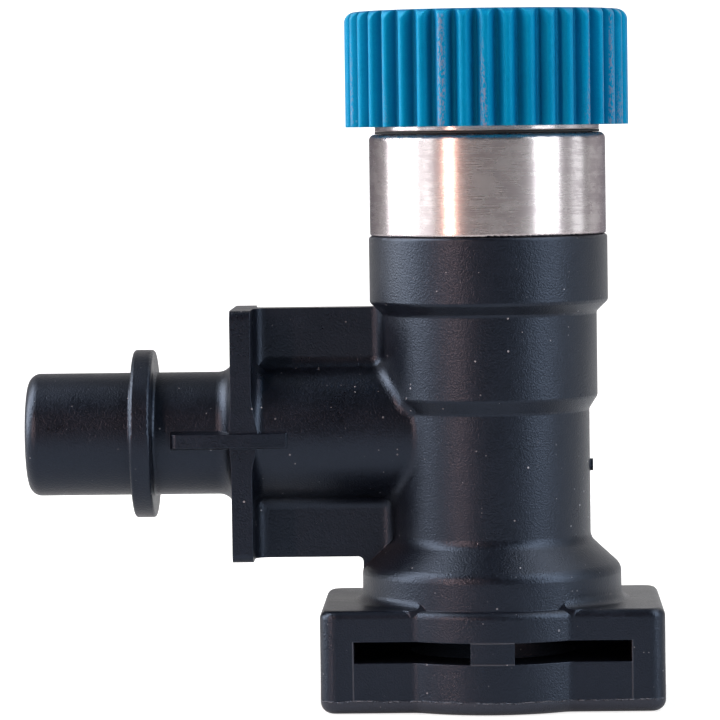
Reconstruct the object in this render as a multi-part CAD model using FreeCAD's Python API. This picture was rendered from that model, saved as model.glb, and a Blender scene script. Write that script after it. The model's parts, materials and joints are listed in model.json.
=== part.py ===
import FreeCAD, Part
import math
import os

# Boiler filling valve: a moulded plastic angle valve with a clip-retained inlet socket below,
# a quick-fit outlet spigot at the side, a nickel-plated screw-down head and a ribbed blue knob.
# The origin lies on the valve's axis in the plane of the foot. +Z points up to the knob,
# the outlet spigot points along -X and the valve's front faces -Y. Lengths are millimetres.

Vector = FreeCAD.Vector
CENTRE = Vector(0, 0, 0)
UP = Vector(0, 0, 1)

# Fits between pieces, each a clearance on the radius or on the length
running_fit = 0.05
snug_fit = 0.02
joint_line = 0.06
thread_fit = 0.05

# Foot block with the inlet socket and the two slots for the retaining clip
block_width = 38.7
block_depth = 26.0
block_height = 11.6
block_corner = 1.8
block_foot_edge = 1.3
block_top_edge = 0.9
bulge_radius = 15.6
bulge_blend = 1.6
slot_web = 4.9
slot_length = 13.1
slot_height = 2.4
slot_floor = 5.75
slot_end_wall = 2.5
seal_bore_radius = 9.0
guide_clearance = 0.4
guide_overrun = 1.0
inlet_depth = 15.2
inlet_lead = 0.8

# Round collar on the block and the flare that leads from it into the barrel
collar_radius = 14.8
collar_height = 3.75
collar_cove = 1.1
cove_run_out = 2.2
cove_headroom = 0.3
flare_height = 3.2
flare_round = 1.6

# Barrel of the body, from the flare up to its rim
barrel_radius = 11.35
barrel_height = 14.75
sleeve_radius = 12.3
sleeve_height = 9.6
sleeve_cone = 1.5
rim_radius = 13.6
rim_height = 7.55
rim_cone = 1.25
rim_edge = 0.35
step_edge = 0.5
gate_radius = 0.7
gate_stand = 0.35
gate_level = 26.8

# Outlet branch, with its reaches measured along -X from the valve's axis
branch_level = 30.9
branch_radius = 7.73
branch_blend = 1.5
plate_reach = 26.9
plate_thickness = 2.35
plate_width = 15.9
plate_height = 28.5
plate_corner = 1.0
plate_inner_cove = 1.4
plate_outer_cove = 1.8
web_thickness = 3.0
web_blend = 1.6
web_cove = 1.5
web_foot_cove = 0.6
web_foot_inset = 0.15
spigot_radius = 7.0
spigot_reach = 52.8
spigot_nose = 1.4
flange_radius = 9.6
flange_reach = 38.3
flange_thickness = 2.35
flange_edge = 0.35
key_drop = 0.4
key_crest_thickness = 1.5
key_root_thickness = 2.6
key_root_depth = 1.4
key_stand = 1.5
key_nose = 0.7
key_tail_stand = 0.3
key_outer_reach = 36.1
key_inner_reach = 23.0

# Water way inside the body
strainer_recess_radius = 7.0
strainer_recess_height = 3.0
port_radius = 4.5
seat_level = 22.3
seat_lip_height = 1.5
seat_lip_width = 1.1
seat_lip_edge = 0.25
chamber_radius = 8.2
passage_radius = 4.2
pocket_radius = 5.4
pocket_length = 17.8

# Plated brass head that screws into the barrel
head_thread_radius = 10.0
head_shank_length = 10.9
head_shank_edge = 0.5
head_radius = 13.45
head_height = 11.5
head_top_edge = 0.7
head_foot_edge = 0.25
head_groove_depth = 1.2
head_groove_width = 0.35
neck_radius = 12.75
neck_height = 3.65
neck_edge = 0.4
head_skirt_radius = 7.5
head_skirt_depth = 4.25
head_relief_outer = 11.0
head_relief_inner = 6.8
head_relief_depth = 10.1
head_seal_section = 1.2
head_seal_groove_width = 1.25
head_seal_groove_height = 2.0

# Screw-down spindle: one turn of the knob lifts it by the pitch of its thread
spindle_pitch = 2.0
opening_turns = 1.5
spindle_radius = 4.0
spindle_thread_radius = 5.0
spindle_thread_length = 11.8
spindle_thread_edge = 0.5
spindle_edge = 0.3
stop_radius = 6.2
stop_thickness = 2.2
stop_gap = 0.05
square_size = 5.6
square_corner_radius = 3.7
square_length = 5.4
stem_seal_section = 1.1
stem_seal_groove = 1.3
stem_seal_first = 1.8
stem_seal_spacing = 3.2

# Swivelling disc holder with its seat washer
holder_radius = 6.6
holder_height = 4.0
holder_rim = 0.75
holder_neck_radius = 4.6
holder_neck_height = 6.2
holder_lip_edge = 0.2
holder_edge = 0.5
holder_neck_edge = 0.4
washer_thickness = 3.0
washer_stand = 0.8
washer_fit = 0.05
pin_radius = 2.5
pin_length = 4.6
pin_end_gap = 0.2
shoulder_gap = 0.2
clip_groove_depth = 0.6
clip_thickness = 0.9
clip_level = 2.0
clip_half_width = 3.4
washer_screw_radius = 1.5
washer_screw_length = 5.2
washer_screw_head_radius = 2.8
washer_screw_head_height = 1.4
washer_screw_head_edge = 0.4
washer_screw_tip = 0.3

# Ribbed knob with its moulded-in brass bush, washer and screw
knob_radius = 16.1
knob_height = 13.05
knob_lift_off = 0.5
knob_neck_gap = 0.3
knob_edge = 1.2
knob_ribs = 40
rib_depth = 1.0
rib_crest_width = 0.9
rib_valley_width = 0.35
rib_rounding = 0.2
knob_web = 2.4
knob_hub_radius = 8.2
knob_hub_gap = 1.0
knob_spokes = 6
spoke_thickness = 1.2
knob_recess_radius = 6.2
knob_recess_depth = 2.6
bush_radius = 5.4
bush_overhang = 0.4
knob_washer_radius = 4.8
knob_washer_thickness = 0.6
knob_screw_radius = 2.0
knob_screw_length = 8.0
knob_screw_head_radius = 3.5
knob_screw_head_height = 1.6
knob_screw_dome = 0.6
knob_screw_tip = 0.4

# Strainer in the floor of the inlet socket
strainer_ring_width = 1.45
strainer_ring_height = 2.7
screen_thickness = 0.4
screen_window = 0.9
screen_pitch = 1.4

# Check valve cartridge in the outlet spigot, with reaches measured from its pocket's floor
cartridge_length = 15.4
cartridge_seat_reach = 4.0
cartridge_inlet_radius = 3.0
cartridge_bore_radius = 4.3
cartridge_seal_section = 0.78
cartridge_seal_groove = 1.3
cartridge_seal_reach = 1.4
poppet_nose_radius = 2.15
poppet_nose_length = 0.8
poppet_radius = 3.9
poppet_thickness = 1.3
poppet_stem_radius = 1.0
poppet_stem_overrun = 0.6
poppet_seal_thickness = 0.7
poppet_seal_inset = 0.1
poppet_edge = 0.5
poppet_tip = 0.3
guide_thickness = 1.4
guide_inset = 0.4
guide_hub_radius = 1.9
guide_rim_width = 0.7
guide_spoke_width = 0.8
guide_spokes = 3
spring_wire_radius = 0.2
spring_radius = 1.6
spring_turns = 6
ring_groove_depth = 0.5
ring_thickness = 0.7
ring_radial_width = 1.2
ring_gap_width = 3.0

# Levels that follow from the sizes above
block_crown = block_height + collar_cove
collar_top = block_height + collar_height
flare_top = collar_top + flare_height
barrel_top = flare_top + barrel_height
sleeve_foot = barrel_top + sleeve_cone
sleeve_top = sleeve_foot + sleeve_height
rim_foot = sleeve_top + rim_cone
body_top = rim_foot + rim_height
plate_foot = branch_level - plate_height / 2
plate_middle = plate_reach + plate_thickness / 2
plate_face = plate_reach + plate_thickness
guide_radius = seal_bore_radius + guide_clearance
guide_top = slot_floor + slot_height + guide_overrun
lift_travel = spindle_pitch * opening_turns

head_foot = body_top + joint_line
head_shoulder = head_foot + head_height
neck_foot = head_shoulder + head_groove_width
neck_top = neck_foot + neck_height
shank_foot = head_foot - head_shank_length
skirt_ceiling = shank_foot + head_skirt_depth

stop_top = skirt_ceiling - lift_travel - stop_gap
stop_foot = stop_top - stop_thickness
thread_top = stop_top + spindle_thread_length
thread_bore_top = thread_top + lift_travel + stop_gap
stem_bore_radius = spindle_radius + running_fit

washer_foot = seat_level
washer_top = washer_foot + washer_thickness
holder_foot = washer_foot + washer_stand
holder_top = holder_foot + holder_height
holder_neck_top = holder_top + holder_neck_height
shoulder_level = holder_neck_top + shoulder_gap
pin_foot = shoulder_level - pin_length
pin_bore_floor = pin_foot - pin_end_gap
clip_foot = pin_foot + clip_level

knob_foot = neck_foot + knob_lift_off
knob_top = knob_foot + knob_height
knob_ceiling = knob_top - knob_web
knob_bore_radius = neck_radius + knob_neck_gap
knob_hub_foot = neck_top + knob_hub_gap
knob_recess_floor = knob_top - knob_recess_depth
bush_foot = knob_recess_floor - square_length - bush_overhang

strainer_foot = inlet_depth + strainer_recess_height - strainer_ring_height
port_foot = inlet_depth + strainer_recess_height

pocket_floor = spigot_reach - pocket_length
cartridge_seat = pocket_floor + cartridge_seat_reach
cartridge_end = pocket_floor + cartridge_length
poppet_back = cartridge_seat + poppet_seal_thickness + poppet_thickness
guide_end = cartridge_end - guide_inset
guide_foot = guide_end - guide_thickness


def outline(corners, place):
    """Closed wire through corners (u, v, radius), each rounded by its radius; place maps (u, v) to space."""
    starts = []
    ends = []
    arcs = []
    count = len(corners)
    for i, (u, v, radius) in enumerate(corners):
        here = Vector(u, v, 0)
        if radius == 0:
            starts.append(here)
            ends.append(here)
            arcs.append(None)
            continue
        before = Vector(corners[i - 1][0], corners[i - 1][1], 0) - here
        after = Vector(corners[(i + 1) % count][0], corners[(i + 1) % count][1], 0) - here
        before.normalize()
        after.normalize()
        half = before.getAngle(after) / 2
        middle = before + after
        middle.normalize()
        centre = here + middle * (radius / math.sin(half))
        starts.append(here + before * (radius / math.tan(half)))
        ends.append(here + after * (radius / math.tan(half)))
        arcs.append(centre - middle * radius)
    edges = []
    for i in range(count):
        if arcs[i] is not None:
            edges.append(Part.Arc(place(starts[i]), place(arcs[i]), place(ends[i])).toShape())
        leave = ends[i]
        arrive = starts[(i + 1) % count]
        if leave.distanceToPoint(arrive) > 1e-7:
            edges.append(Part.LineSegment(place(leave), place(arrive)).toShape())
    return Part.Wire(edges)


def turned(corners):
    """Solid of revolution about Z of a profile given as (radius, height, corner rounding)."""
    profile = outline(corners, lambda p: Vector(p.x, 0, p.y))
    return Part.Face(profile).revolve(CENTRE, UP, 360)


def prism(corners, foot, height):
    """Upright prism on a plan given as (x, y, corner rounding)."""
    plan = outline(corners, lambda p: Vector(p.x, p.y, foot))
    return Part.Face(plan).extrude(Vector(0, 0, height))


def rod(radius, foot, top):
    """Upright cylinder on the axis between two levels."""
    return Part.makeCylinder(radius, top - foot, Vector(0, 0, foot))


def tube(outer, inner, foot, top):
    """Upright tube on the axis between two levels."""
    return rod(outer, foot, top).cut(rod(inner, foot, top))


def o_ring(groove_radius, section, level):
    """Round-section sealing ring that sits on a groove's floor with its middle at a level."""
    return Part.makeTorus(groove_radius + snug_fit + section / 2, section / 2, Vector(0, 0, level))


def on_branch(shape):
    """Turns a shape made about Z onto the branch's axis, so that heights become reaches along -X."""
    moved = shape.copy()
    moved.rotate(CENTRE, Vector(0, 1, 0), -90)
    moved.translate(Vector(0, 0, branch_level))
    return moved


def mirrored(shape):
    """The shape with its mirror image across the valve's middle plane."""
    return shape.fuse(shape.mirror(CENTRE, Vector(0, 1, 0)))


def block_plan(height):
    """Upright prism on the block's rectangular plan with its rounded corners."""
    half_width = block_width / 2
    half_depth = block_depth / 2
    return prism([
        (-half_width, -half_depth, block_corner),
        (half_width, -half_depth, block_corner),
        (half_width, half_depth, block_corner),
        (-half_width, half_depth, block_corner),
    ], 0, height)


def rounded_top(shape, radius):
    """The shape with the edges of its highest face rounded."""
    top = shape.BoundBox.ZMax
    return shape.makeFillet(radius, [e for e in shape.Edges if e.BoundBox.ZMin > top - 1e-6])


def foot_block():
    """Block whose front and back bow out round the socket, with softened foot and top edges."""
    block = block_plan(block_height).fuse(rod(bulge_radius, 0, block_height)).removeSplitter().Solids[0]
    upright = [e for e in block.Edges if e.BoundBox.ZLength > block_height - 1e-6]
    blends = [e for e in upright if abs(abs(e.BoundBox.YMin) - block_depth / 2) < 1e-3]
    block = block.makeFillet(bulge_blend, blends)
    foot_edges = [e for e in block.Edges if e.BoundBox.ZMax < 1e-6]
    block = block.makeFillet(block_foot_edge, foot_edges)
    return rounded_top(block, block_top_edge)


def collar_foot():
    """Cove round the collar's foot, which runs out at the block's front and back edges."""
    ring = turned([
        (collar_radius / 2, block_height / 2, 0),
        (collar_radius + collar_cove, block_height / 2, 0),
        (collar_radius + collar_cove, block_height, 0),
        (collar_radius, block_height, collar_cove),
        (collar_radius, block_crown, 0),
        (collar_radius / 2, block_crown, 0),
    ])
    return ring.common(rounded_top(block_plan(block_crown + cove_headroom), cove_run_out))


def barrel():
    """Collar, flare and barrel with the stepped sleeve and rim that carry the plated head."""
    return turned([
        (0, block_height / 2, 0),
        (collar_radius, block_height / 2, 0),
        (collar_radius, collar_top, flare_round),
        (barrel_radius, flare_top, flare_round),
        (barrel_radius, barrel_top, step_edge),
        (sleeve_radius, sleeve_foot, step_edge),
        (sleeve_radius, sleeve_top, step_edge),
        (rim_radius, rim_foot, step_edge),
        (rim_radius, body_top, rim_edge),
        (0, body_top, 0),
    ])


def branch():
    """Round branch, spigot and stop flange, turned as one profile."""
    return on_branch(turned([
        (0, 0, 0),
        (branch_radius, 0, 0),
        (branch_radius, plate_middle, 0),
        (spigot_radius, plate_middle, 0),
        (spigot_radius, flange_reach, flange_edge),
        (flange_radius, flange_reach, flange_edge),
        (flange_radius, flange_reach + flange_thickness, flange_edge),
        (spigot_radius, flange_reach + flange_thickness, flange_edge),
        (spigot_radius, spigot_reach, spigot_nose),
        (0, spigot_reach, 0),
    ]))


def plate_coves():
    """Coves between the plate and the round forms on both its faces, no wider than the plate."""
    inner_foot = plate_reach - plate_inner_cove
    outer_end = plate_face + plate_outer_cove
    ring = on_branch(turned([
        (0, inner_foot, 0),
        (branch_radius, inner_foot, 0),
        (branch_radius, plate_reach, plate_inner_cove),
        (branch_radius + plate_inner_cove, plate_reach, 0),
        (branch_radius + plate_inner_cove, plate_face, 0),
        (spigot_radius + plate_outer_cove, plate_face, 0),
        (spigot_radius, plate_face, plate_outer_cove),
        (spigot_radius, outer_end, 0),
        (0, outer_end, 0),
    ]))
    slab = Part.makeBox(outer_end - inner_foot, plate_width, plate_height,
                        Vector(-outer_end, -plate_width / 2, plate_foot))
    return ring.common(slab)


def plate():
    """Upright plate across the branch that the installer's fork bears on."""
    half = plate_width / 2
    face = outline([
        (-half, plate_foot, plate_corner),
        (half, plate_foot, plate_corner),
        (half, plate_foot + plate_height, plate_corner),
        (-half, plate_foot + plate_height, plate_corner),
    ], lambda p: Vector(-plate_reach, p.x, p.y))
    return Part.Face(face).extrude(Vector(-plate_thickness, 0, 0))


def web(wall_radius, foot):
    """Middle web between a round wall and the plate, with coves that lead it into the wall."""
    half = web_thickness / 2
    bar = half + web_blend
    wall = -math.sqrt(wall_radius ** 2 - bar ** 2)
    return prism([
        (-plate_middle, -half, 0),
        (wall, -half, web_blend),
        (wall, -bar, 0),
        (wall / 2, -bar, 0),
        (wall / 2, bar, 0),
        (wall, bar, 0),
        (wall, half, web_blend),
        (-plate_middle, half, 0),
    ], foot, plate_height / 2)


def web_foot():
    """Foot of the lower web that drops straight onto the flare's shoulder, with a cove at its corner."""
    drop = collar_radius - web_foot_inset
    side = outline([
        (-plate_reach, plate_foot, 0),
        (-drop, plate_foot, web_foot_cove),
        (-drop, block_crown, 0),
        (-barrel_radius, block_crown, 0),
        (-barrel_radius, flare_top, 0),
        (-plate_reach, flare_top, 0),
    ], lambda p: Vector(p.x, -web_thickness / 2, p.y))
    return Part.Face(side).extrude(Vector(0, web_thickness, 0))


def web_coves():
    """Coves in the corners between the webs and the plate."""
    half = web_thickness / 2
    return mirrored(prism([
        (-plate_middle, 0, 0),
        (-plate_reach + web_cove, 0, 0),
        (-plate_reach + web_cove, half, 0),
        (-plate_reach, half, web_cove),
        (-plate_reach, half + web_cove, 0),
        (-plate_middle, half + web_cove, 0),
    ], plate_foot, plate_height))


def on_branch_skin(edge):
    """Whether an edge runs on the branch's round skin, away from its end at the plate."""
    if edge.BoundBox.XMax < -plate_reach + 0.01:
        return False
    for share in (0.1, 0.5, 0.9):
        at = edge.valueAt(edge.FirstParameter + (edge.LastParameter - edge.FirstParameter) * share)
        if at.x > -barrel_radius / 2 or abs(at.y) < web_thickness / 2 - 0.01:
            return False
        if abs(math.hypot(at.y, at.z - branch_level) - branch_radius) > 0.01:
            return False
    return True


def trunk():
    """Collar, barrel, branch and webs as one form with the branch blended into the barrel."""
    stub = on_branch(rod(branch_radius, 0, plate_reach))
    webs = [web(sleeve_radius, branch_level), web(barrel_radius, plate_foot)]
    shape = barrel().fuse([stub] + webs).removeSplitter().Solids[0]
    return shape.makeFillet(branch_blend, [e for e in shape.Edges if on_branch_skin(e)])


def key_ribs():
    """Tapered key rib along the front of the branch, passing the plate, and its twin at the back."""
    level = branch_level - key_drop
    root = spigot_radius - key_root_depth
    crest = spigot_radius + key_stand
    plan = prism([
        (-key_outer_reach, root, 0),
        (-key_outer_reach, crest, key_nose),
        (-plate_reach, crest, 0),
        (-key_inner_reach, branch_radius + key_tail_stand, 0),
        (-key_inner_reach, root, 0),
    ], level - key_root_thickness / 2, key_root_thickness)
    section = outline([
        (root, -key_root_thickness / 2, 0),
        (crest, -key_crest_thickness / 2, 0),
        (crest, key_crest_thickness / 2, 0),
        (root, key_root_thickness / 2, 0),
    ], lambda p: Vector(-key_outer_reach, p.x, level + p.y))
    bar = Part.Face(section).extrude(Vector(key_outer_reach - key_inner_reach, 0, 0))
    return mirrored(bar.common(plan))


def clip_slots():
    """Two slots for the legs of the retaining clip, from the front to a thin wall at the back."""
    length = bulge_radius + block_depth / 2 - slot_end_wall
    near = Part.makeBox(slot_length, length, slot_height, Vector(slot_web / 2, -bulge_radius, slot_floor))
    return near.fuse(near.mirror(CENTRE, Vector(1, 0, 0)))


def water_way():
    """Everything cut out of the body: socket, strainer recess, port, chamber and head thread."""
    groove_foot = body_top - head_seal_groove_height
    groove_radius = head_thread_radius + head_seal_groove_width
    lip_radius = port_radius + seat_lip_width
    lip_foot = seat_level - seat_lip_height
    axis_cut = turned([
        (0, 0, 0),
        (guide_radius + inlet_lead, 0, 0),
        (guide_radius, inlet_lead, 0),
        (guide_radius, guide_top, 0),
        (seal_bore_radius, guide_top + guide_clearance, 0),
        (seal_bore_radius, inlet_depth, 0),
        (strainer_recess_radius, inlet_depth, 0),
        (strainer_recess_radius, port_foot, 0),
        (port_radius, port_foot, 0),
        (port_radius, seat_level, seat_lip_edge),
        (lip_radius, seat_level, seat_lip_edge),
        (lip_radius, lip_foot, 0),
        (chamber_radius, lip_foot, 0),
        (chamber_radius, shank_foot - joint_line, 0),
        (head_thread_radius, shank_foot - joint_line, 0),
        (head_thread_radius, groove_foot, 0),
        (groove_radius, groove_foot, 0),
        (groove_radius, body_top, 0),
        (0, body_top, 0),
    ])
    side_cut = on_branch(turned([
        (0, chamber_radius / 2, 0),
        (passage_radius, chamber_radius / 2, 0),
        (passage_radius, pocket_floor, 0),
        (pocket_radius, pocket_floor, 0),
        (pocket_radius, cartridge_end, 0),
        (pocket_radius + ring_groove_depth, cartridge_end, 0),
        (pocket_radius + ring_groove_depth, cartridge_end + ring_thickness + joint_line, 0),
        (pocket_radius, cartridge_end + ring_thickness + joint_line, 0),
        (pocket_radius, spigot_reach, 0),
        (0, spigot_reach, 0),
    ]))
    return axis_cut.fuse(side_cut)


def valve_body():
    """Moulded body: foot, collar, barrel and outlet branch in one piece, with its water way."""
    gate = Part.makeCylinder(gate_radius, barrel_radius + gate_stand, Vector(0, 0, gate_level), Vector(1, 0, 0))
    body = trunk().fuse([foot_block(), collar_foot(), branch(), plate(), plate_coves(), web_foot(), web_coves(),
                         key_ribs(), gate])
    body = body.cut(water_way())
    return body.cut(clip_slots()).removeSplitter()


def head():
    """Plated brass head: smooth grip ring, neck under the knob, threaded shank and stepped bore."""
    shank_radius = head_thread_radius - thread_fit
    groove_radius = neck_radius - head_groove_depth
    thread_bore = spindle_thread_radius + thread_fit
    shape = turned([
        (head_skirt_radius, shank_foot, 0),
        (shank_radius, shank_foot, head_shank_edge),
        (shank_radius, head_foot, 0),
        (head_radius, head_foot, head_foot_edge),
        (head_radius, head_shoulder, head_top_edge),
        (groove_radius, head_shoulder, 0),
        (groove_radius, neck_foot, 0),
        (neck_radius, neck_foot, 0),
        (neck_radius, neck_top, neck_edge),
        (stem_bore_radius, neck_top, 0),
        (stem_bore_radius, thread_bore_top, 0),
        (thread_bore, thread_bore_top, 0),
        (thread_bore, skirt_ceiling, 0),
        (head_skirt_radius, skirt_ceiling, 0),
    ])
    return shape.cut(tube(head_relief_outer, head_relief_inner, neck_top - head_relief_depth, neck_top))


def head_seal():
    """O-ring between the head's shank and the rim of the body."""
    level = body_top - head_seal_groove_height + head_seal_section / 2
    return o_ring(head_thread_radius - thread_fit + snug_fit, head_seal_section, level)


def strainer_ring():
    """Plastic ring pressed into the recess in the socket's floor."""
    outer = strainer_recess_radius
    return tube(outer, outer - strainer_ring_width, strainer_foot, port_foot)


def strainer_screen():
    """Stainless screen across the ring, a disc with a grid of square windows."""
    radius = strainer_recess_radius - strainer_ring_width
    foot = port_foot - 2 * screen_thickness
    screen = rod(radius, foot, foot + screen_thickness)
    reach = int(radius / screen_pitch)
    half = screen_window / 2
    windows = []
    for column in range(-reach, reach + 1):
        for row in range(-reach, reach + 1):
            x = column * screen_pitch
            y = row * screen_pitch
            if math.hypot(abs(x) + half, abs(y) + half) > radius - half / 2:
                continue
            windows.append(Part.makeBox(screen_window, screen_window, screen_thickness,
                                        Vector(x - half, y - half, foot)))
    return screen.cut(windows)


def seat_washer():
    """Rubber washer that closes on the seat's lip, held by the screw through its middle."""
    return tube(holder_radius - holder_rim - washer_fit, washer_screw_radius, washer_foot, washer_top)


def washer_screw():
    """Stainless screw whose head holds the washer in the holder from below."""
    head_end = washer_foot - washer_screw_head_height
    return turned([
        (0, head_end, 0),
        (washer_screw_head_radius, head_end, washer_screw_head_edge),
        (washer_screw_head_radius, washer_foot, 0),
        (washer_screw_radius, washer_foot, 0),
        (washer_screw_radius, washer_foot + washer_screw_length, washer_screw_tip),
        (0, washer_foot + washer_screw_length, 0),
    ])


def clip_plan(half_width, open_side, grip_radius, foot, height):
    """U-shaped piece that slides in from -X: a rounded block of a half width, less the gripped pin."""
    round_end = Part.makeCylinder(half_width, height, Vector(0, 0, foot))
    straight = Part.makeBox(open_side, 2 * half_width, height, Vector(-open_side, -half_width, foot))
    shape = round_end.fuse(straight)
    if grip_radius == 0:
        return shape
    pin = Part.makeCylinder(grip_radius, height, Vector(0, 0, foot))
    mouth = Part.makeBox(half_width, 2 * grip_radius, height, Vector(0, -grip_radius, foot))
    return shape.cut(pin.fuse(mouth))


def disc_holder():
    """Brass holder: a cup for the washer and a neck whose bore turns freely on the spindle's pin."""
    cup_radius = holder_radius - holder_rim
    shape = turned([
        (0, washer_top, 0),
        (cup_radius, washer_top, 0),
        (cup_radius, holder_foot, 0),
        (holder_radius, holder_foot, holder_lip_edge),
        (holder_radius, holder_top, holder_edge),
        (holder_neck_radius, holder_top, holder_edge),
        (holder_neck_radius, holder_neck_top, holder_neck_edge),
        (pin_radius + running_fit, holder_neck_top, 0),
        (pin_radius + running_fit, pin_bore_floor, 0),
        (0, pin_bore_floor, 0),
    ])
    tapped = rod(washer_screw_radius, washer_top, washer_foot + washer_screw_length)
    slot = clip_plan(clip_half_width + running_fit, 2 * holder_neck_radius, 0, clip_foot - running_fit,
                     clip_thickness + 2 * running_fit)
    return shape.cut([tapped, slot])


def swivel_clip():
    """Horseshoe clip in the holder's slot that hangs the holder on the spindle's grooved pin."""
    grip = pin_radius - clip_groove_depth + running_fit
    reach = math.sqrt(holder_neck_radius ** 2 - clip_half_width ** 2)
    return clip_plan(clip_half_width, reach, grip, clip_foot, clip_thickness)


def stem_seal_level(which):
    """Middle of one of the two stem seals, counted from the lower one."""
    return thread_bore_top + stem_seal_first + stem_seal_groove / 2 + which * stem_seal_spacing


def spindle():
    """Brass spindle: grooved pin, stop collar, thread, two seal grooves and square end for the knob."""
    groove = pin_radius - clip_groove_depth
    shape = turned([
        (0, pin_foot, 0),
        (pin_radius, pin_foot, spindle_edge),
        (pin_radius, clip_foot - running_fit, 0),
        (groove, clip_foot - running_fit, 0),
        (groove, clip_foot + clip_thickness + running_fit, 0),
        (pin_radius, clip_foot + clip_thickness + running_fit, 0),
        (pin_radius, shoulder_level, 0),
        (spindle_radius, shoulder_level, spindle_edge),
        (spindle_radius, stop_foot, 0),
        (stop_radius, stop_foot, spindle_edge),
        (stop_radius, stop_top, spindle_edge),
        (spindle_thread_radius, stop_top, 0),
        (spindle_thread_radius, thread_top, spindle_thread_edge),
        (spindle_radius, thread_top, 0),
        (spindle_radius, bush_foot, 0),
        (square_corner_radius, bush_foot, 0),
        (square_corner_radius, bush_foot + square_length, spindle_edge),
        (0, bush_foot + square_length, 0),
    ])
    seal_floor = spindle_radius - stem_seal_section + snug_fit
    cuts = []
    for which in range(2):
        level = stem_seal_level(which)
        cuts.append(tube(2 * spindle_radius, seal_floor, level - stem_seal_groove / 2,
                         level + stem_seal_groove / 2))
    blank = rod(2 * square_size, bush_foot, bush_foot + square_length)
    cuts.append(blank.cut(square_bar(square_size, bush_foot, square_length)))
    cuts.append(rod(knob_screw_radius, screw_end(), bush_foot + square_length))
    return shape.cut(cuts)


def square_bar(size, foot, height):
    """Upright square bar centred on the axis."""
    return Part.makeBox(size, size, height, Vector(-size / 2, -size / 2, foot))


def stem_seal(which):
    """O-ring in one of the spindle's grooves, running in the head's bore."""
    return o_ring(spindle_radius - stem_seal_section, stem_seal_section, stem_seal_level(which))


def rib_ring(foot, height):
    """Prism of the knob's plan: equal ribs with rounded crests and narrow valleys."""
    root_radius = knob_radius - rib_depth
    crest_half = rib_crest_width / 2 / knob_radius
    valley_half = rib_valley_width / 2 / root_radius
    pitch = 2 * math.pi / knob_ribs
    flank_radius = knob_radius - rib_rounding

    def at(radius, angle):
        return Vector(radius * math.cos(angle), radius * math.sin(angle), foot)

    edges = []
    for i in range(knob_ribs):
        middle = i * pitch
        edge_before = at(flank_radius, middle - crest_half)
        edge_after = at(flank_radius, middle + crest_half)
        valley_start = at(root_radius, middle + pitch / 2 - valley_half)
        valley_end = at(root_radius, middle + pitch / 2 + valley_half)
        next_edge = at(flank_radius, middle + pitch - crest_half)
        edges.append(Part.Arc(edge_before, at(knob_radius, middle), edge_after).toShape())
        edges.append(Part.LineSegment(edge_after, valley_start).toShape())
        edges.append(Part.LineSegment(valley_start, valley_end).toShape())
        edges.append(Part.LineSegment(valley_end, next_edge).toShape())
    return Part.Face(Part.Wire(edges)).extrude(Vector(0, 0, height))


def knob():
    """Blue hand knob: ribbed skirt over the head's neck, spoked hub and recess for its screw."""
    blank = turned([
        (0, knob_foot, 0),
        (knob_radius + rib_depth, knob_foot, 0),
        (knob_radius + rib_depth, knob_top - knob_edge, 0),
        (knob_radius, knob_top - knob_edge, 0),
        (knob_radius, knob_top, knob_edge),
        (0, knob_top, 0),
    ])
    shape = rib_ring(knob_foot, knob_height).common(blank)
    hollow = tube(knob_bore_radius, knob_hub_radius, knob_foot, knob_ceiling)
    below_hub = rod(knob_hub_radius, knob_foot, knob_hub_foot)
    recess = rod(knob_recess_radius, knob_recess_floor, knob_top)
    bush_hole = rod(bush_radius, knob_hub_foot, knob_recess_floor)
    shape = shape.cut([hollow, below_hub, recess, bush_hole])
    spokes = []
    spoke_start = (bush_radius + knob_hub_radius) / 2
    spoke_end = (knob_bore_radius + knob_radius - rib_depth) / 2
    for i in range(knob_spokes):
        spoke = Part.makeBox(spoke_end - spoke_start, spoke_thickness, knob_ceiling - knob_hub_foot + knob_web / 2,
                             Vector(spoke_start, -spoke_thickness / 2, knob_hub_foot))
        spoke.rotate(CENTRE, UP, 360 / knob_spokes * (i + 0.5))
        spokes.append(spoke)
    return shape.fuse(spokes).removeSplitter()


def knob_bush():
    """Brass bush moulded into the knob's hub, with the square hole that drives the spindle."""
    bush = rod(bush_radius, bush_foot, knob_recess_floor)
    hole = square_bar(square_size + 2 * snug_fit, bush_foot, knob_recess_floor - bush_foot)
    return bush.cut(hole.common(rod(square_corner_radius + snug_fit, bush_foot, knob_recess_floor)))


def knob_washer():
    """Plain washer between the screw's head and the bush."""
    return tube(knob_washer_radius, knob_screw_radius + running_fit, knob_recess_floor,
                knob_recess_floor + knob_washer_thickness)


def screw_end():
    """Level of the knob screw's tip inside the spindle."""
    return knob_recess_floor + knob_washer_thickness - knob_screw_length


def knob_screw():
    """Pan-head screw that holds the knob on the spindle's square."""
    seat = knob_recess_floor + knob_washer_thickness
    return turned([
        (0, screw_end(), 0),
        (knob_screw_radius, screw_end(), knob_screw_tip),
        (knob_screw_radius, seat, 0),
        (knob_screw_head_radius, seat, 0),
        (knob_screw_head_radius, seat + knob_screw_head_height, knob_screw_dome),
        (0, seat + knob_screw_head_height, 0),
    ])


def check_housing():
    """Plastic tube of the check valve, with the seat for its poppet and a groove for its seal."""
    outer = pocket_radius - running_fit
    groove_floor = pocket_radius - cartridge_seal_section - snug_fit
    seal_start = pocket_floor + cartridge_seal_reach
    return on_branch(turned([
        (cartridge_inlet_radius, pocket_floor, 0),
        (outer, pocket_floor, 0),
        (outer, seal_start, 0),
        (groove_floor, seal_start, 0),
        (groove_floor, seal_start + cartridge_seal_groove, 0),
        (outer, seal_start + cartridge_seal_groove, 0),
        (outer, cartridge_end, 0),
        (cartridge_bore_radius, cartridge_end, 0),
        (cartridge_bore_radius, cartridge_seat, 0),
        (cartridge_inlet_radius, cartridge_seat, 0),
    ]))


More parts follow.
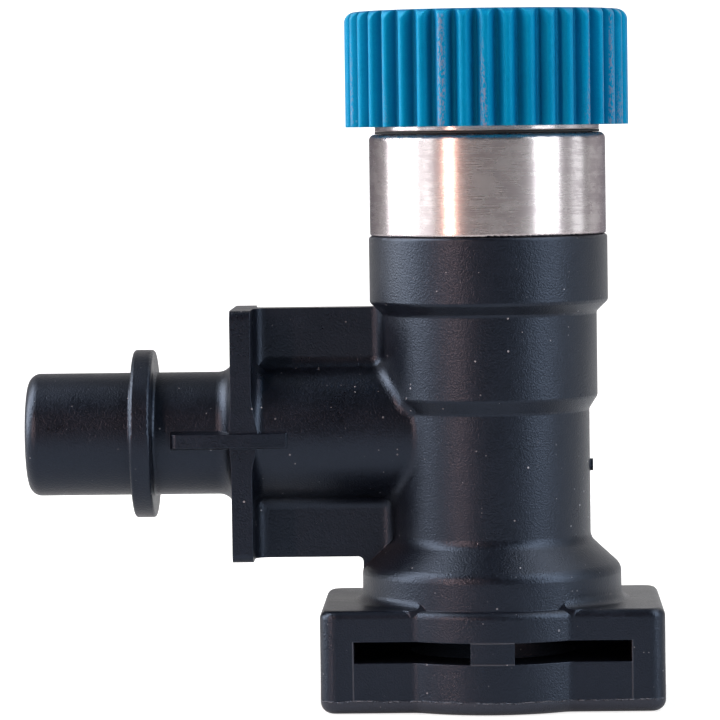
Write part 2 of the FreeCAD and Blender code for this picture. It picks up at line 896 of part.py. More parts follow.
def check_housing_seal():
    """O-ring around the check valve's housing."""
    floor = pocket_radius - cartridge_seal_section - 2 * snug_fit
    level = pocket_floor + cartridge_seal_reach + cartridge_seal_groove / 2
    return on_branch(o_ring(floor, cartridge_seal_section - snug_fit, level))


def check_guide():
    """Spoked guide snapped into the housing's outlet end, with the bore for the poppet's stem."""
    disc = tube(cartridge_bore_radius, poppet_stem_radius + running_fit, guide_foot, guide_end)
    windows = tube(cartridge_bore_radius - guide_rim_width, guide_hub_radius, guide_foot, guide_end)
    for i in range(guide_spokes):
        spoke = Part.makeBox(cartridge_bore_radius, guide_spoke_width, guide_thickness,
                             Vector(0, -guide_spoke_width / 2, guide_foot))
        spoke.rotate(CENTRE, UP, 360 / guide_spokes * i)
        windows = windows.cut(spoke)
    return on_branch(disc.cut(windows))


def check_poppet():
    """Poppet with a nose that centres its seal and a long stem that runs in the guide."""
    seal_back = cartridge_seat + poppet_seal_thickness
    nose = cartridge_seat - poppet_nose_length
    tip = guide_end + poppet_stem_overrun
    return on_branch(turned([
        (0, nose, 0),
        (poppet_nose_radius, nose, poppet_edge),
        (poppet_nose_radius, seal_back, 0),
        (poppet_radius, seal_back, 0),
        (poppet_radius, poppet_back, poppet_edge),
        (poppet_stem_radius, poppet_back, 0),
        (poppet_stem_radius, tip, poppet_tip),
        (0, tip, 0),
    ]))


def check_poppet_seal():
    """Flat rubber ring on the poppet's face."""
    return on_branch(tube(poppet_radius - poppet_seal_inset, poppet_nose_radius, cartridge_seat,
                          cartridge_seat + poppet_seal_thickness))


def check_spring():
    """Coil spring between the poppet's back and the guide."""
    foot = poppet_back + spring_wire_radius + snug_fit
    height = guide_foot - spring_wire_radius - snug_fit - foot
    path = Part.makeHelix(height / spring_turns, height, spring_radius)
    section = Part.makeCircle(spring_wire_radius, Vector(spring_radius, 0, 0), Vector(0, 1, 0))
    coil = Part.Wire(path).makePipeShell([Part.Wire(section)], True, True)
    coil.translate(Vector(0, 0, foot))
    return on_branch(coil)


def check_retaining_ring():
    """Spring ring in the spigot's groove that keeps the check valve in its pocket."""
    outer = pocket_radius + ring_groove_depth - running_fit
    ring = tube(outer, outer - ring_radial_width, cartridge_end, cartridge_end + ring_thickness)
    gap = Part.makeBox(outer, ring_gap_width, ring_thickness, Vector(0, -ring_gap_width / 2, cartridge_end))
    return on_branch(ring.cut(gap))


def stem_seal_lower():
    """The stem seal next to the thread."""
    return stem_seal(0)


def stem_seal_upper():
    """The stem seal next to the knob."""
    return stem_seal(1)


PIECES = (
    valve_body,
    head,
    head_seal,
    strainer_ring,
    strainer_screen,
    check_housing,
    check_housing_seal,
    check_guide,
    check_retaining_ring,
    check_spring,
    check_poppet,
    check_poppet_seal,
    disc_holder,
    seat_washer,
    washer_screw,
    swivel_clip,
    spindle,
    stem_seal_lower,
    stem_seal_upper,
    knob,
    knob_bush,
    knob_washer,
    knob_screw,
)

os.makedirs("parts", exist_ok=True)
for piece in PIECES:
    solid = piece()
    solid.exportStep("parts/" + piece.__name__ + ".step")
    print(piece.__name__, solid.ShapeType, len(solid.Solids), solid.isValid(), round(solid.Volume, 1))
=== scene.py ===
import json
import logging
import math
from dataclasses import dataclass
from enum import Enum
from typing import Iterable

import bmesh
import bpy
from mathutils import Matrix, Vector


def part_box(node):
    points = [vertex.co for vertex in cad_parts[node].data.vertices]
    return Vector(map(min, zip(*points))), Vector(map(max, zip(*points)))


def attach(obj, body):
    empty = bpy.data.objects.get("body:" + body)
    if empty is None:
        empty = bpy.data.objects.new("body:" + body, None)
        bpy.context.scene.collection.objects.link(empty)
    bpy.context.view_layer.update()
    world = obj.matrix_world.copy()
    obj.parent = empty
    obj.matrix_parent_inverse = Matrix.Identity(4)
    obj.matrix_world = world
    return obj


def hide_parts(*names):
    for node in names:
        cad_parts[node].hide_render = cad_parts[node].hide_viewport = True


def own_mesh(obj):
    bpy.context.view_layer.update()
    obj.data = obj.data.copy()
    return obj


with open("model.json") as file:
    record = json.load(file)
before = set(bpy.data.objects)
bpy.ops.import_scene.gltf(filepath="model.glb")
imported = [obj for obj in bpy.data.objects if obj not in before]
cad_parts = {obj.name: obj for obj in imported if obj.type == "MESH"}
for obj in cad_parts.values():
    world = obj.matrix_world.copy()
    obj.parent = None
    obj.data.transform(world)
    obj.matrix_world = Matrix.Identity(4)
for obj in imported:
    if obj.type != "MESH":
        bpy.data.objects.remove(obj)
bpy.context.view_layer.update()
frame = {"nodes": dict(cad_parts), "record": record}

Socket = bpy.types.NodeSocket
Node = bpy.types.Node
Tree = bpy.types.NodeTree
Material = bpy.types.Material
Piece = bpy.types.Object
Loop = list[bmesh.types.BMEdge]
Triple = tuple[float, float, float]
Colour = Triple
# Factor or radius, and rise
Step = tuple[float, float]
# Start and end of the range read, and the results there
Band = tuple[float, float, float, float]

LOG = logging.getLogger("filling_valve")
MM = 0.001
WHITE = (1.0, 1.0, 1.0)
WELD_DISTANCE = 1e-7

# Ranges that a noise's value is read over: it keeps near 0.5
WIDE_BAND = (0.30, 0.70)
MIDDLE_BAND = (0.35, 0.65)
GRAIN_BAND = (0.38, 0.64)

# Radii of the knob: its skirt's inside, the bottom of the valleys and the crest of the ribs
SKIRT_RADIUS = 15.0 * MM
VALLEY_RADIUS = 15.15 * MM
CREST_RADIUS = 15.95 * MM


class Ride(Enum):
    """Bodies of the valve that the scene's own pieces move with."""

    BODY = "body"
    KNOB = "knob_and_spindle"


class Slot(Enum):
    """Material slots that the record names."""

    BODY_PLASTIC = "body_plastic"
    PLATED_BRASS = "plated_brass"
    RAW_BRASS = "raw_brass"
    KNOB_PLASTIC = "knob_plastic"
    WHITE_PLASTIC = "white_plastic"
    SEAL_RUBBER = "seal_rubber"
    STAINLESS = "stainless"


class Graph:
    """A shader node tree while it is being built."""

    def __init__(self, tree: Tree) -> None:
        """Starts on a tree and empties it."""
        self.tree = tree
        self.tree.nodes.clear()

    def node(self, kind: str, inputs: dict | None = None, **settings: object) -> Node:
        """Adds a node, sets its properties and fills its inputs.

        Args:
            kind: Blender's identifier of the node.
            inputs: Values or output sockets by input name or index.
            settings: Properties of the node by name.

        Returns:
            The new node.
        """
        made = self.tree.nodes.new(kind)
        for name, value in settings.items():
            setattr(made, name, value)
        for key, value in (inputs or {}).items():
            if isinstance(value, Socket):
                self.tree.links.new(value, made.inputs[key])
            else:
                made.inputs[key].default_value = value
        return made

    def math(self, operation: str, *values: object) -> Socket:
        """Adds a Math node on up to three numbers or sockets."""
        return self.node("ShaderNodeMath", dict(enumerate(values)), operation=operation).outputs[0]

    def product(self, first: object, second: object) -> Socket:
        """Multiplies two numbers or sockets."""
        return self.math("MULTIPLY", first, second)

    def weighed(self, first: object, share: object, second: object, rest: object) -> Socket:
        """Adds two numbers or sockets, each times its share."""
        return self.math("ADD", self.product(first, share), self.product(second, rest))

    def ramp(self, value: Socket, low: float, high: float, to_low: float = 0.0,
             to_high: float = 1.0) -> Socket:
        """Maps a value smoothly from the range of low and high onto to_low and to_high."""
        inputs = {"Value": value, "From Min": low, "From Max": high, "To Min": to_low, "To Max": to_high}
        return self.node("ShaderNodeMapRange", inputs, interpolation_type="SMOOTHSTEP").outputs["Result"]

    def around(self, value: Socket, middle: float, spread: float, low: float, high: float) -> Socket:
        """Maps a value smoothly from the range of low and high onto a spread round a middle."""
        return self.ramp(value, low, high, middle - spread, middle + spread)

    def blend(self, share: object, first: object, second: object) -> Socket:
        """Mixes two colours.

        Args:
            share: Socket or number, 0 for the first colour and 1 for the second.
            first: Colour or socket.
            second: Colour or socket.

        Returns:
            The mixed colour's socket.
        """
        inputs = {0: share}
        for key, colour in ((6, first), (7, second)):
            inputs[key] = colour if isinstance(colour, Socket) else (*colour, 1.0)
        return self.node("ShaderNodeMix", inputs, data_type="RGBA").outputs[2]

    def noise(self, vector: Socket, scale: object, detail: float) -> Socket:
        """Adds a noise of some octaves, whose scale is in waves to the metre."""
        inputs = {"Vector": vector, "Scale": scale, "Detail": detail}
        return self.node("ShaderNodeTexNoise", inputs).outputs[0]

    def place(self) -> Socket:
        """Socket of the surface point's place on the valve."""
        return self.node("ShaderNodeTexCoord").outputs["Object"]

    def axes(self, vector: Socket) -> Node:
        """Node that splits a vector into X, Y and Z."""
        return self.node("ShaderNodeSeparateXYZ", {0: vector})

    def length(self, vector: Socket) -> Socket:
        """Socket of a vector's length."""
        return self.node("ShaderNodeVectorMath", {0: vector}, operation="LENGTH").outputs["Value"]

    def axis_radius(self) -> Socket:
        """Socket of the surface point's distance from the valve's upright axis."""
        axes = self.axes(self.place())
        return self.length(self.node("ShaderNodeCombineXYZ", {"X": axes.outputs["X"],
                                                              "Y": axes.outputs["Y"]}).outputs[0])

    def stretched(self, vector: Socket, scale: Triple) -> Socket:
        """Multiplies coordinates by a factor along each axis."""
        return self.node("ShaderNodeMapping", {"Vector": vector, "Scale": scale}).outputs[0]


class Effect(Enum):
    """Shared surface effects, each a node group."""

    GRAIN = "moulded_grain"
    SPECKS = "dust_specks"
    EDGES = "edge_wear"
    TURNING = "turned_lines"
    SCUFFS = "handling_scuffs"


class SharedEffect(Graph):
    """Base of the shared effects: a node group that puts out masks, values and normals."""

    effect: Effect
    inputs: dict[str, float]
    outputs: tuple[str, ...] = ("Mask",)

    def __init__(self) -> None:
        """Makes the group with its sockets and wires it."""
        super().__init__(bpy.data.node_groups.new(self.effect.value, "ShaderNodeTree"))
        for name, value in self.inputs.items():
            socket = self.tree.interface.new_socket(name, in_out="INPUT", socket_type="NodeSocketFloat")
            socket.default_value = value
        for name in self.outputs:
            kind = "NodeSocketVector" if name == "Normal" else "NodeSocketFloat"
            self.tree.interface.new_socket(name, in_out="OUTPUT", socket_type=kind)
        self.source = self.node("NodeGroupInput").outputs
        self.sink = self.node("NodeGroupOutput").inputs
        self.fill()

    def send(self, name: str, value: Socket) -> None:
        """Puts a value out of the group."""
        self.tree.links.new(value, self.sink[name])

    def fill(self) -> None:
        """Wires the group from its inputs to its outputs."""
        raise NotImplementedError


class Grain(SharedEffect):
    """Fine spark-eroded grain over slow waves, as a moulded skin has."""

    effect = Effect.GRAIN
    inputs = {"Fineness": 9000.0, "Cloud": 160.0}
    outputs = ("Height", "Clouds")
    coarse_share = 0.22
    coarse_scale = 0.22

    def fill(self) -> None:
        """Wires the fine grain, the coarse grain and the clouds."""
        place = self.place()
        fine = self.noise(place, self.source["Fineness"], 2.0)
        coarse = self.noise(place, self.product(self.source["Fineness"], self.coarse_scale), 3.0)
        self.send("Height", self.weighed(fine, 1.0 - self.coarse_share, coarse, self.coarse_share))
        self.send("Clouds", self.noise(place, self.source["Cloud"], 3.0))


class Specks(SharedEffect):
    """Sparse light specks, as fibre ends and dust show on dark plastic."""

    effect = Effect.SPECKS
    inputs = {"Fineness": 1500.0, "Share": 0.05}
    smallest = 0.04
    size_spread = 0.20
    brightness_power = 2.0

    def fill(self) -> None:
        """Wires a dot of its own size and brightness into each chosen cell."""
        cells = self.node("ShaderNodeTexVoronoi", {"Vector": self.place(), "Scale": self.source["Fineness"]})
        lot = self.node("ShaderNodeSeparateColor", {"Color": cells.outputs["Color"]}).outputs
        chosen = self.math("LESS_THAN", lot[0], self.source["Share"])
        size = self.math("MULTIPLY_ADD", lot[1], self.size_spread, self.smallest)
        dot = self.math("LESS_THAN", cells.outputs["Distance"], size)
        bright = self.math("POWER", lot[2], self.brightness_power)
        self.send("Mask", self.product(self.product(chosen, dot), bright))


class Edges(SharedEffect):
    """Mask of the edges that hands and tools rub, with the softened normal across them."""

    effect = Effect.EDGES
    inputs = {"Radius": 0.3 * MM, "Patches": 900.0}
    outputs = ("Mask", "Normal")
    bend = (0.995, 0.86)
    patch_band = (0.38, 0.62, 0.25, 1.0)

    def fill(self) -> None:
        """Wires the bend of the softened normal, broken up in patches."""
        geometry = self.node("ShaderNodeNewGeometry")
        soft = self.node("ShaderNodeBevel", {"Radius": self.source["Radius"]}, samples=6).outputs[0]
        match = self.node("ShaderNodeVectorMath", {0: soft, 1: geometry.outputs["Normal"]},
                          operation="DOT_PRODUCT").outputs["Value"]
        patches = self.ramp(self.noise(self.place(), self.source["Patches"], 4.0), *self.patch_band)
        self.send("Mask", self.product(self.ramp(match, *self.bend), patches))
        self.send("Normal", soft)


class Turning(SharedEffect):
    """Fine lines and short dashes round the valve's axis, as turning and brushing leave them."""

    effect = Effect.TURNING
    inputs = {"Fineness": 9000.0, "Dashes": 0.0, "Mottle": 700.0}
    outputs = ("Height", "Streaks")
    ring_stretch = (0.012, 0.012, 1.0)
    dash_stretch = (0.06, 0.06, 1.0)
    stain_stretch = (0.6, 0.6, 1.0)
    broad_scale = 0.16
    dash_scale = 0.8
    first_share = 0.6
    streak_band = (0.40, 0.60)

    def fill(self) -> None:
        """Wires lines that run all round against dashes and stains, by the share of dashes."""
        place = self.place()
        fineness = self.source["Fineness"]
        rings = self.stretched(place, self.ring_stretch)
        fine = self.noise(rings, fineness, 2.0)
        broad = self.noise(rings, self.product(fineness, self.broad_scale), 2.0)
        dashes = self.noise(self.stretched(place, self.dash_stretch),
                            self.product(fineness, self.dash_scale), 3.0)
        mottle = self.noise(self.stretched(place, self.stain_stretch), self.source["Mottle"], 5.0)
        lines = self.weighed(fine, self.first_share, broad, 1.0 - self.first_share)
        stain = self.weighed(mottle, self.first_share, dashes, 1.0 - self.first_share)
        share = self.source["Dashes"]
        kept = self.math("SUBTRACT", 1.0, share)
        self.send("Height", self.weighed(dashes, share, lines, kept))
        self.send("Streaks", self.ramp(self.weighed(stain, share, broad, kept), *self.streak_band))


class Scuffs(SharedEffect):
    """Chalky grains rubbed along the crests of a few of the knob's ribs."""

    effect = Effect.SCUFFS
    inputs = {"Patches": 420.0, "Fineness": 5200.0, "Crest": 15.8 * MM}
    rib_stretch = (1.0, 1.0, 0.06)
    grain_stretch = (1.0, 1.0, 0.5)
    chosen_band = (0.60, 0.70)
    broken_band = (0.42, 0.62)
    crest_depth = 0.3 * MM

    def fill(self) -> None:
        """Wires broken grains onto the crests inside chosen patches."""
        place = self.place()
        patches = self.noise(self.stretched(place, self.rib_stretch), self.source["Patches"], 1.0)
        grains = self.noise(self.stretched(place, self.grain_stretch), self.source["Fineness"], 4.0)
        rubbed = self.product(self.ramp(patches, *self.chosen_band), self.ramp(grains, *self.broken_band))
        over = self.math("SUBTRACT", self.axis_radius(), self.source["Crest"])
        self.send("Mask", self.product(self.ramp(over, -self.crest_depth, 0.0), rubbed))


EFFECTS = (Grain, Specks, Edges, Turning, Scuffs)


@dataclass(frozen=True)
class Finish:
    """Base of every finish: a Principled surface fed by shared effects."""

    name: str

    def start(self) -> tuple[Material, Graph, Node]:
        """Makes an empty material with its shader and output.

        Returns:
            The material, its graph and its Principled shader.
        """
        material = bpy.data.materials.new(self.name)
        material.use_nodes = True
        graph = Graph(material.node_tree)
        shader = graph.node("ShaderNodeBsdfPrincipled")
        graph.node("ShaderNodeOutputMaterial", {"Surface": shader.outputs[0]})
        return material, graph, shader

    @staticmethod
    def place_effect(graph: Graph, group: Tree, **values: float) -> Node:
        """Places a shared effect in a material with its own values.

        Args:
            graph: The material's graph.
            group: The effect's node group.
            values: Values by input name.

        Returns:
            The group's node.
        """
        made = graph.node("ShaderNodeGroup", node_tree=group)
        for name, value in values.items():
            made.inputs[name].default_value = value
        return made

    @staticmethod
    def feed(graph: Graph, shader: Node, colour: Socket, roughness: Socket, **relief: object) -> None:
        """Feeds a shader its colour, its roughness and its bumped normal.

        Args:
            graph: The material's graph.
            shader: The Principled shader.
            colour: The colour's socket.
            roughness: The roughness's socket.
            relief: Inputs of the bump: Height, Distance and, if it starts from a softened one, Normal.
        """
        bump = graph.node("ShaderNodeBump", {"Strength": 1.0, **relief})
        for name, value in (("Base Color", colour), ("Roughness", roughness), ("Normal", bump.outputs[0])):
            graph.tree.links.new(value, shader.inputs[name])


@dataclass(frozen=True)
class MouldMarks:
    """Marks that the mould left on the body, with widths and places in metres and shares of the mask."""

    ridge_height: float = 6.0
    ridge_crest: float = 0.03 * MM
    ridge_foot: float = 0.09 * MM
    line_core: float = 0.04 * MM
    line_edge: float = 0.13 * MM
    half_width: float = 15.6 * MM
    bridge_half_width: float = 2.45 * MM
    top: float = 8.15 * MM
    sill: float = 5.75 * MM
    foot: float = 1.45 * MM
    front: float = -10.0 * MM
    side_share: float = 0.35
    bridge_share: float = 0.4
    band_share: float = 0.2
    wander: float = 0.4 * MM
    wander_scale: float = 500.0
    break_scale: float = 1600.0
    break_band: Band = (0.40, 0.62, 0.15, 1.0)

    def ridge(self, graph: Graph) -> Socket:
        """Height in grain depths of the fine ridge in the plane where the mould's halves met."""
        off = graph.math("ABSOLUTE", graph.axes(graph.place()).outputs["Y"])
        return graph.ramp(off, self.ridge_crest, self.ridge_foot, self.ridge_height, 0.0)

    def line(self, graph: Graph, value: Socket, where: float, share: object) -> Socket:
        """Mask of a thin line where a coordinate has one value, weakened by a share."""
        off = graph.math("ABSOLUTE", graph.math("SUBTRACT", value, where))
        return graph.product(graph.ramp(off, self.line_core, self.line_edge, 1.0, 0.0), share)

    def insert(self, graph: Graph) -> Socket:
        """Mask of the outline of the slots' insert on the foot's front, and of the lighter band under it.

        Args:
            graph: The material's graph.

        Returns:
            The mask's socket.
        """
        place = graph.place()
        axes = graph.axes(place)
        level = axes.outputs["Z"]
        aside = graph.math("ABSOLUTE", axes.outputs["X"])
        wander = graph.math("MULTIPLY_ADD", graph.noise(place, self.wander_scale, 2.0), self.wander,
                            -self.wander / 2)
        broken = graph.ramp(graph.noise(place, self.break_scale, 3.0), *self.break_band)
        bridge = graph.product(graph.math("LESS_THAN", aside, self.bridge_half_width), self.bridge_share)
        under = graph.math("LESS_THAN", level, self.foot)
        beside = graph.product(graph.math("LESS_THAN", level, self.top),
                               graph.math("GREATER_THAN", level, self.foot))
        mask = self.line(graph, graph.math("ADD", level, wander), self.foot, broken)
        for other in (self.line(graph, aside, self.half_width, graph.product(beside, self.side_share)),
                      self.line(graph, level, self.sill, bridge),
                      self.line(graph, level, self.top, bridge),
                      graph.product(under, self.band_share)):
            mask = graph.math("MAXIMUM", mask, other)
        return graph.product(mask, graph.math("LESS_THAN", axes.outputs["Y"], self.front))


@dataclass(frozen=True)
class MouldedPlastic(Finish):
    """Moulded plastic with grain, specks and worn edges, and mould marks, painted shade between ribs and
    scuffs where named.
    """

    colour: Colour
    cloud_colour: Colour
    speck_colour: Colour
    wear_colour: Colour
    roughness: float
    roughness_spread: float
    grain_depth: float
    grain_fineness: float = 9000.0
    cloud_scale: float = 130.0
    speck_share: float = 0.05
    speck_fineness: float = 1500.0
    edge_radius: float = 0.35 * MM
    edge_patches: float = 700.0
    wear_share: float = 0.45
    mottle: float = 0.0
    mottle_roughness: float = 0.25
    specular: float = 0.5
    tint: Colour = WHITE
    marks: MouldMarks | None = None
    mark_colour: Colour = (0.13, 0.135, 0.16)
    mark_height: float = 5.0
    valley_shade_colour: Colour | None = None
    valley_shade_share: float = 0.0
    scuff_colour: Colour | None = None
    scuff_share: float = 0.0

    def build(self, effects: dict[Effect, Tree]) -> Material:
        """Builds the material.

        Args:
            effects: The shared effect groups.

        Returns:
            The finished material.
        """
        material, graph, shader = self.start()
        grain = self.place_effect(graph, effects[Effect.GRAIN], Fineness=self.grain_fineness,
                                  Cloud=self.cloud_scale)
        specks = self.place_effect(graph, effects[Effect.SPECKS], Fineness=self.speck_fineness,
                                   Share=self.speck_share)
        edges = self.place_effect(graph, effects[Effect.EDGES], Radius=self.edge_radius,
                                  Patches=self.edge_patches)
        height = grain.outputs["Height"]
        clouds = grain.outputs["Clouds"]
        colour = graph.blend(graph.ramp(clouds, *MIDDLE_BAND), self.colour, self.cloud_colour)
        mottle = graph.ramp(height, *GRAIN_BAND)
        colour = graph.blend(graph.product(mottle, self.mottle), colour, self.wear_colour)
        worn = graph.product(edges.outputs["Mask"], self.wear_share)
        colour = graph.blend(worn, colour, self.wear_colour)
        # Painted shade: the knob's valleys are darkened in the colour
        if self.valley_shade_colour is not None:
            colour = graph.blend(self.painted_valley_shade_mask(graph), colour, self.valley_shade_colour)
        if self.scuff_colour is not None:
            scuffs = self.place_effect(graph, effects[Effect.SCUFFS])
            rubbed = graph.product(scuffs.outputs["Mask"], self.scuff_share)
            colour = graph.blend(rubbed, colour, self.scuff_colour)
        colour = graph.blend(specks.outputs["Mask"], colour, self.speck_colour)
        rough = graph.around(clouds, self.roughness, self.roughness_spread, *WIDE_BAND)
        rough = graph.math("MULTIPLY_ADD", graph.math("SUBTRACT", mottle, 0.5),
                           self.mottle_roughness * self.mottle, rough)
        if self.marks is not None:
            mark = self.marks.insert(graph)
            height = graph.math("ADD", height, self.marks.ridge(graph))
            height = graph.math("MULTIPLY_ADD", mark, self.mark_height, height)
            colour = graph.blend(mark, colour, self.mark_colour)
        self.feed(graph, shader, colour, rough, Height=height, Distance=self.grain_depth,
                  Normal=edges.outputs["Normal"])
        shader.inputs["Specular IOR Level"].default_value = self.specular
        shader.inputs["Specular Tint"].default_value = (*self.tint, 1.0)
        return material

    def painted_valley_shade_mask(self, graph: Graph) -> Socket:
        """Mask of the painted shade between the knob's ribs, darkest towards the valleys' floor.

        Args:
            graph: The material's graph.

        Returns:
            The mask's socket.
        """
        radius = graph.axis_radius()
        side = graph.ramp(radius, VALLEY_RADIUS, CREST_RADIUS, self.valley_shade_share, 0.0)
        return graph.product(side, graph.math("GREATER_THAN", radius, SKIRT_RADIUS))


@dataclass(frozen=True)
class TurnedMetal(Finish):
    """Turned or drawn metal with fine lines round the axis, slightly worn edges and, where named, painted
    shade in the groove under the knob.
    """

    colour: Colour
    streak_colour: Colour
    roughness: float
    roughness_spread: float
    line_depth: float
    line_fineness: float = 9000.0
    dashes: float = 0.0
    edge_radius: float = 0.2 * MM
    edge_patches: float = 1200.0
    brushing: float = 0.0
    brushing_turn: float = 0.25
    grazing_tint: Colour = WHITE
    bare_colour: Colour | None = None
    bare_share: float = 0.5
    # Colour of the painted shade in the narrow groove under the knob
    groove_shade_colour: Colour | None = None
    groove_wall: tuple[float, float] = (12.55 * MM, 12.95 * MM)
    groove_floor: tuple[float, float] = (64.60 * MM, 64.75 * MM)
    groove_roof: tuple[float, float] = (65.10 * MM, 65.35 * MM)

    def build(self, effects: dict[Effect, Tree]) -> Material:
        """Builds the material.

        Args:
            effects: The shared effect groups.

        Returns:
            The finished material.
        """
        material, graph, shader = self.start()
        turning = self.place_effect(graph, effects[Effect.TURNING], Fineness=self.line_fineness,
                                    Dashes=self.dashes)
        edges = self.place_effect(graph, effects[Effect.EDGES], Radius=self.edge_radius,
                                  Patches=self.edge_patches)
        streaks = turning.outputs["Streaks"]
        colour = graph.blend(streaks, self.colour, self.streak_colour)
        rough = graph.around(streaks, self.roughness, self.roughness_spread, 0.0, 1.0)
        if self.bare_colour is not None:
            worn = graph.product(edges.outputs["Mask"], self.bare_share)
            colour = graph.blend(worn, colour, self.bare_colour)
        # Painted shade: the narrow groove under the knob is darkened in the colour, and made rough
        if self.groove_shade_colour is not None:
            groove_shade = self.painted_groove_shade_mask(graph)
            colour = graph.blend(groove_shade, colour, self.groove_shade_colour)
            rough = graph.math("MAXIMUM", rough, groove_shade)
        self.feed(graph, shader, colour, rough, Height=turning.outputs["Height"], Distance=self.line_depth,
                  Normal=edges.outputs["Normal"])
        shader.inputs["Metallic"].default_value = 1.0
        shader.inputs["Anisotropic"].default_value = self.brushing
        shader.inputs["Anisotropic Rotation"].default_value = self.brushing_turn
        shader.inputs["Specular Tint"].default_value = (*self.grazing_tint, 1.0)
        return material

    def painted_groove_shade_mask(self, graph: Graph) -> Socket:
        """Mask of the painted shade in the narrow groove under the knob.

        Args:
            graph: The material's graph.

        Returns:
            The mask's socket.
        """
        level = graph.axes(graph.place()).outputs["Z"]
        inward = graph.ramp(graph.axis_radius(), *self.groove_wall, 1.0, 0.0)
        above = graph.ramp(level, *self.groove_floor)
        under = graph.ramp(level, *self.groove_roof, 1.0, 0.0)
        return graph.product(inward, graph.product(above, under))


@dataclass(frozen=True)
class SealRubber(Finish):
    """Black seal rubber with a dull bloom."""

    colour: Colour
    bloom_colour: Colour
    roughness: float
    roughness_spread: float
    grain_depth: float
    grain_fineness: float
    cloud_scale: float
    bloom_band: tuple[float, float] = (0.4, 0.7)

    def build(self, effects: dict[Effect, Tree]) -> Material:
        """Builds the material.

        Args:
            effects: The shared effect groups.

        Returns:
            The finished material.
        """
        material, graph, shader = self.start()
        grain = self.place_effect(graph, effects[Effect.GRAIN], Fineness=self.grain_fineness,
                                  Cloud=self.cloud_scale)
        clouds = grain.outputs["Clouds"]
        colour = graph.blend(graph.ramp(clouds, *self.bloom_band), self.colour, self.bloom_colour)
        rough = graph.around(clouds, self.roughness, self.roughness_spread, *WIDE_BAND)
        self.feed(graph, shader, colour, rough, Height=grain.outputs["Height"], Distance=self.grain_depth)
        return material


FINISHES: dict[Slot, Finish] = {
    Slot.BODY_PLASTIC: MouldedPlastic(
        name="black_glass_filled_nylon", colour=(0.0010, 0.0013, 0.0028),
        cloud_colour=(0.0018, 0.0023, 0.0046), speck_colour=(0.36, 0.36, 0.40),
        wear_colour=(0.009, 0.013, 0.026), roughness=0.33, roughness_spread=0.03, grain_depth=0.058 * MM,
        grain_fineness=5000.0, speck_share=0.10, speck_fineness=1900.0, edge_radius=0.15 * MM, mottle=0.24,
        specular=0.62, tint=(0.58, 0.72, 1.0), marks=MouldMarks()),
    Slot.KNOB_PLASTIC: MouldedPlastic(
        name="blue_knob_plastic", colour=(0.0, 0.185, 0.40), cloud_colour=(0.0, 0.215, 0.45),
        speck_colour=(0.20, 0.42, 0.56), wear_colour=(0.008, 0.42, 0.64), roughness=0.40,
        roughness_spread=0.05, grain_depth=0.012 * MM, speck_share=0.03, wear_share=0.75, mottle=0.18,
        # the valley colour is painted shade between the ribs
        specular=0.4, tint=(0.03, 0.7, 1.0), valley_shade_colour=(0.0, 0.045, 0.16), valley_shade_share=0.7,
        scuff_colour=(0.32, 0.20, 0.25), scuff_share=0.55),
    Slot.WHITE_PLASTIC: MouldedPlastic(
        name="natural_acetal", colour=(0.72, 0.71, 0.66), cloud_colour=(0.78, 0.77, 0.72),
        speck_colour=(0.85, 0.85, 0.82), wear_colour=(0.85, 0.84, 0.80), roughness=0.38,
        roughness_spread=0.05, grain_depth=0.006 * MM, edge_radius=0.1 * MM),
    Slot.PLATED_BRASS: TurnedMetal(
        name="nickel_plated_brass", colour=(0.84, 0.78, 0.79), streak_colour=(0.60, 0.54, 0.56),
        roughness=0.27, roughness_spread=0.02, line_depth=0.0015 * MM, line_fineness=15000.0, dashes=0.8,
        brushing=0.7, grazing_tint=(0.34, 0.33, 0.36), bare_colour=(0.76, 0.50, 0.24),
        # near-black colour of the painted shade in the groove under the knob
        groove_shade_colour=(0.012, 0.011, 0.012)),
    Slot.RAW_BRASS: TurnedMetal(
        name="turned_brass", colour=(0.76, 0.57, 0.27), streak_colour=(0.66, 0.47, 0.20), roughness=0.30,
        roughness_spread=0.06, line_depth=0.008 * MM),
    Slot.STAINLESS: TurnedMetal(
        name="stainless_steel", colour=(0.60, 0.60, 0.60), streak_colour=(0.50, 0.50, 0.50), roughness=0.30,
        roughness_spread=0.06, line_depth=0.005 * MM, edge_radius=0.08 * MM),
    Slot.SEAL_RUBBER: SealRubber(
        name="seal_rubber", colour=(0.018, 0.018, 0.018), bloom_colour=(0.035, 0.035, 0.036), roughness=0.62,
        roughness_spread=0.08, grain_depth=0.01 * MM, grain_fineness=6000.0, cloud_scale=500.0),
}


def dress_nodes(materials: dict[Slot, Material]) -> None:
    """Gives every node of the frame the finish of its slot.

    Args:
        materials: The finished materials by slot.
    """
    for part in frame["record"]["subparts"]:
        node = frame["nodes"][part["node"]]
        material = materials[Slot(part["material_slot"])]
        for holder in node.material_slots:
            holder.material = material
        LOG.info("node %s wears %s", part["node"], material.name)


def put_in_scene(name: str, data: bpy.types.ID) -> Piece:
    """Makes an object of a mesh, lamp or camera and links it to the scene.

    Args:
        name: The object's name.
        data: What it holds.

    Returns:
        The object.
    """
    made = bpy.data.objects.new(name, data)
    bpy.context.scene.collection.objects.link(made)
    return made


def to_mesh(name: str, shape: bmesh.types.BMesh, material: Material) -> bpy.types.Mesh:
    """Turns a shape's faces outwards and makes it a mesh with one material.

    Args:
        name: The mesh's name.
        shape: The shape, which is freed.
        material: The material.

    Returns:
        The mesh.
    """
    bmesh.ops.recalc_face_normals(shape, faces=shape.faces)
    mesh = bpy.data.meshes.new(name)
    shape.to_mesh(mesh)
    shape.free()
    mesh.materials.append(material)
    return mesh


def edges_of(verts: list[bmesh.types.BMVert]) -> Loop:
    """Lists the edges that meet at any of some vertices, each once."""
    return list(dict.fromkeys(edge for vert in verts for edge in vert.link_edges))


